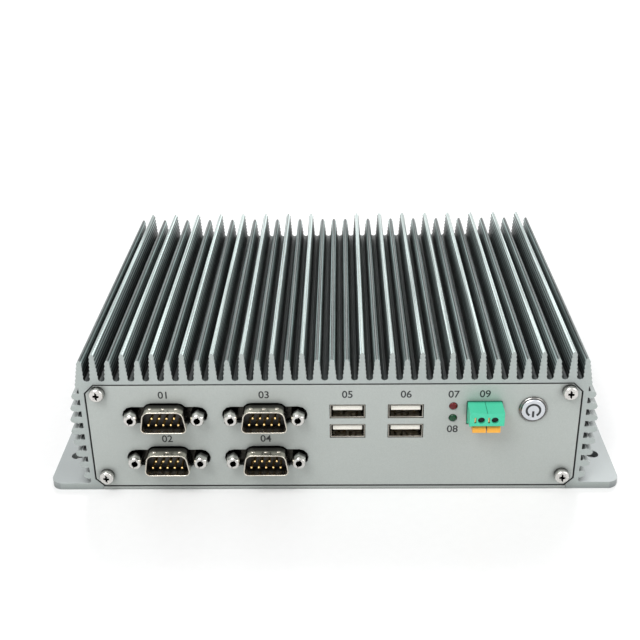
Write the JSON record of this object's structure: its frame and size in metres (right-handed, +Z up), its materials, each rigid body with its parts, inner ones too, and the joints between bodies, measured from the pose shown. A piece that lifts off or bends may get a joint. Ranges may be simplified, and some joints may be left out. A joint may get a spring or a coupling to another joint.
{
  "type": "fanless industrial computer",
  "caption": "Low box computer whose finned aluminium body cools it without a fan, with side mounting flanges, serial, data and switch connectors in front and supply and network sockets behind.",
  "frame": {"origin": "centre of the four flange holes, on the underside", "axes": "+X to the right when the serial ports are faced, -Y out of the front panel, +Y out of the rear panel, +Z up through the fins"},
  "size_m": [0.2206, 0.1583, 0.06],
  "materials": {
    "extruded_aluminium": "satin anodised grey",
    "panel_aluminium": "fine matt pale grey",
    "cover_aluminium": "satin grey",
    "steel": "bright plated",
    "nickel_shell": "plated sheet",
    "black_plastic": "moulded",
    "gilt": "gilt contact",
    "white_plastic": "moulded",
    "blue_plastic": "moulded",
    "green_plastic": "moulded",
    "orange_plastic": "moulded",
    "red_lens": "tinted lens",
    "green_lens": "tinted lens",
    "board": "coated laminate",
    "bare_aluminium": "milled"
  },
  "bodies": {
    "chassis": {"antenna_hole_plugs": "black_plastic", "audio_jack_body": "black_plastic", "audio_jack_sleeve": "gilt", "base_cover": "cover_aluminium", "base_cover_screws": "steel", "board_standoffs": "steel", "button_board": "board", "data_port_contacts": "gilt", "display_body": "blue_plastic", "display_jackscrews": "steel", "display_shell": "nickel_shell", "front_data_1_shell": "nickel_shell", "front_data_1_tongues": "white_plastic", "front_data_2_shell": "nickel_shell", "front_data_2_tongues": "white_plastic", "front_panel": "panel_aluminium", "front_panel_screws": "steel", "ground_screw": "steel", "ground_washer": "steel", "heatsink_housing": "extruded_aluminium", "main_board": "board", "memory_module": "board", "memory_socket": "black_plastic", "network_body_1": "black_plastic", "network_body_2": "black_plastic", "network_contacts": "gilt", "network_lights": "green_lens", "network_shell_1": "nickel_shell", "network_shell_2": "nickel_shell", "power_button_ring": "steel", "power_light": "green_lens", "power_switch": "black_plastic", "processor": "black_plastic", "rear_data_lower_tongue": "black_plastic", "rear_data_shell": "nickel_shell", "rear_data_upper_tongue": "blue_plastic", "rear_panel": "panel_aluminium", "rear_panel_screws": "steel", "screen_socket_shell": "nickel_shell", "screen_socket_tongue": "black_plastic", "serial_board": "board", "serial_body_1": "black_plastic", "serial_body_2": "black_plastic", "serial_jackscrews": "steel", "serial_pins": "gilt", "serial_shell_1": "nickel_shell", "serial_shell_2": "nickel_shell", "serial_shell_3": "nickel_shell", "serial_shell_4": "nickel_shell", "storage_drive": "bare_aluminium", "storage_light": "red_lens", "supply_inserts": "gilt", "supply_pins": "gilt", "supply_terminal": "green_plastic", "switch_header": "green_plastic", "switch_plug": "green_plastic", "thermal_block": "bare_aluminium"},
    "power_button": {"power_button_cap": "steel"},
    "release_left": {"switch_release_1": "orange_plastic"},
    "release_right": {"switch_release_2": "orange_plastic"}
  },
  "joints": [
    {"name": "power_button_press", "type": "slide", "parent": "chassis", "child": "power_button", "axis": [0, 1, 0], "range_m": [0, 0.0012], "stiffness_N_per_m": 800},
    {"name": "release_left_press", "type": "slide", "parent": "chassis", "child": "release_left", "axis": [0, 1, 0], "range_m": [0, 0.0015], "stiffness_N_per_m": 1000},
    {"name": "release_right_press", "type": "slide", "parent": "chassis", "child": "release_right", "axis": [0, 1, 0], "range_m": [0, 0.0015], "stiffness_N_per_m": 1000}
  ]
}
